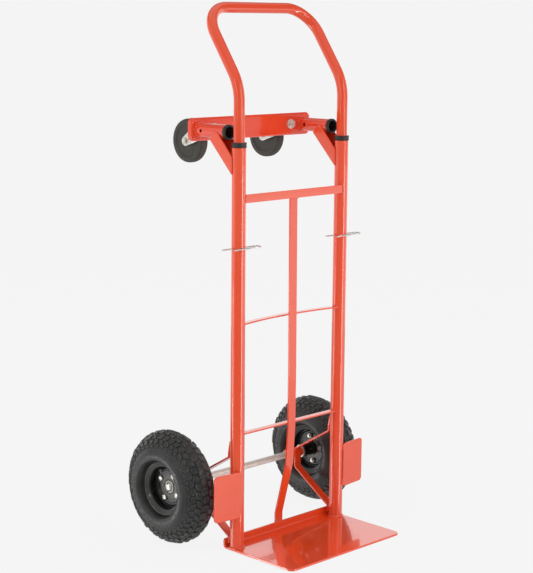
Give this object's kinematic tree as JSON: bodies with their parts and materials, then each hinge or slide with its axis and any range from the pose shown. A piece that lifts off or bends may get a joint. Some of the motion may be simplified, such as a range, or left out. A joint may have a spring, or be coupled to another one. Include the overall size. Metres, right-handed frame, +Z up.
{
  "type": "convertible hand truck",
  "caption": "Upright tubular hand truck with toe plate, air-filled wheels, swivel castors behind the top, and a lift-out loop handle that converts it to a platform cart.",
  "frame": {"origin": "on the ground at the toe plate's underside, midway between the uprights' axes", "axes": "+Z up along the uprights, +X to the right seen from the load side, -Y out over the toe plate"},
  "size_m": [0.5632, 0.4655, 1.2233],
  "materials": {
    "frame_paint": "gloss",
    "handle_paint": "gloss",
    "zinc": "zinc plated",
    "tyre_rubber": "matt",
    "rim_paint": "satin",
    "black_plastic": "satin",
    "castor_rubber": "matt"
  },
  "bodies": {
    "frame": {"toe_plate": "frame_paint", "upper_crossbar": "frame_paint", "middle_crossbar": "frame_paint", "lower_crossbar": "frame_paint", "center_bar": "frame_paint", "castor_plate": "frame_paint", "upright_left": "frame_paint", "axle_bracket_left": "frame_paint", "axle_sleeve_left": "frame_paint", "wheel_guard_left": "frame_paint", "gusset_left": "frame_paint", "socket_tube_left": "frame_paint", "upright_right": "frame_paint", "axle_bracket_right": "frame_paint", "axle_sleeve_right": "frame_paint", "wheel_guard_right": "frame_paint", "gusset_right": "frame_paint", "socket_tube_right": "frame_paint", "axle": "zinc", "collar_left": "black_plastic", "socket_bush_left": "black_plastic", "axle_washer_left": "zinc", "axle_cap_left": "zinc", "castor_race_left": "zinc", "kingpin_left": "zinc", "king_nut_left": "zinc", "collar_right": "black_plastic", "socket_bush_right": "black_plastic", "axle_washer_right": "zinc", "axle_cap_right": "zinc", "castor_race_right": "zinc", "kingpin_right": "zinc", "king_nut_right": "zinc"},
    "handle": {"handle": "handle_paint"},
    "wheel_left": {"tyre_left": "tyre_rubber", "rim_outer_left": "rim_paint", "rim_inner_left": "rim_paint", "hub_left": "rim_paint", "rim_bolt_left_1": "zinc", "rim_bolt_left_2": "zinc", "rim_bolt_left_3": "zinc", "rim_bolt_left_4": "zinc"},
    "castor_left": {"castor_fork_left": "zinc", "castor_bolt_left": "zinc"},
    "castor_roller_left": {"castor_wheel_left": "castor_rubber"},
    "pin_left": {"spring_pin_left": "zinc"},
    "wheel_right": {"tyre_right": "tyre_rubber", "rim_outer_right": "rim_paint", "rim_inner_right": "rim_paint", "hub_right": "rim_paint", "rim_bolt_right_1": "zinc", "rim_bolt_right_2": "zinc", "rim_bolt_right_3": "zinc", "rim_bolt_right_4": "zinc"},
    "castor_right": {"castor_fork_right": "zinc", "castor_bolt_right": "zinc"},
    "castor_roller_right": {"castor_wheel_right": "castor_rubber"},
    "pin_right": {"spring_pin_right": "zinc"}
  },
  "joints": [
    {"name": "handle_lift", "type": "slide", "parent": "frame", "child": "handle", "axis": [0, 0, 1], "range_m": [0, 0.255]},
    {"name": "wheel_spin_left", "type": "hinge", "parent": "frame", "child": "wheel_left", "pos_m": [-0.237, 0.1435, 0.131], "axis": [1, 0, 0], "continuous": true},
    {"name": "castor_swivel_left", "type": "hinge", "parent": "frame", "child": "castor_left", "pos_m": [-0.123, 0.1413, 0.944], "axis": [0, 1, 0], "continuous": true},
    {"name": "castor_spin_left", "type": "hinge", "parent": "castor_left", "child": "castor_roller_left", "pos_m": [-0.123, 0.204, 0.912], "axis": [1, 0, 0], "continuous": true},
    {"name": "pin_pull_left", "type": "slide", "parent": "frame", "child": "pin_left", "axis": [1, 0, 0], "range_m": [0, 0.07]},
    {"name": "wheel_spin_right", "type": "hinge", "parent": "frame", "child": "wheel_right", "pos_m": [0.237, 0.1435, 0.131], "axis": [1, 0, 0], "continuous": true},
    {"name": "castor_swivel_right", "type": "hinge", "parent": "frame", "child": "castor_right", "pos_m": [0.123, 0.1413, 0.944], "axis": [0, 1, 0], "continuous": true},
    {"name": "castor_spin_right", "type": "hinge", "parent": "castor_right", "child": "castor_roller_right", "pos_m": [0.123, 0.204, 0.912], "axis": [1, 0, 0], "continuous": true},
    {"name": "pin_pull_right", "type": "slide", "parent": "frame", "child": "pin_right", "axis": [1, 0, 0], "range_m": [0, 0.07]}
  ]
}
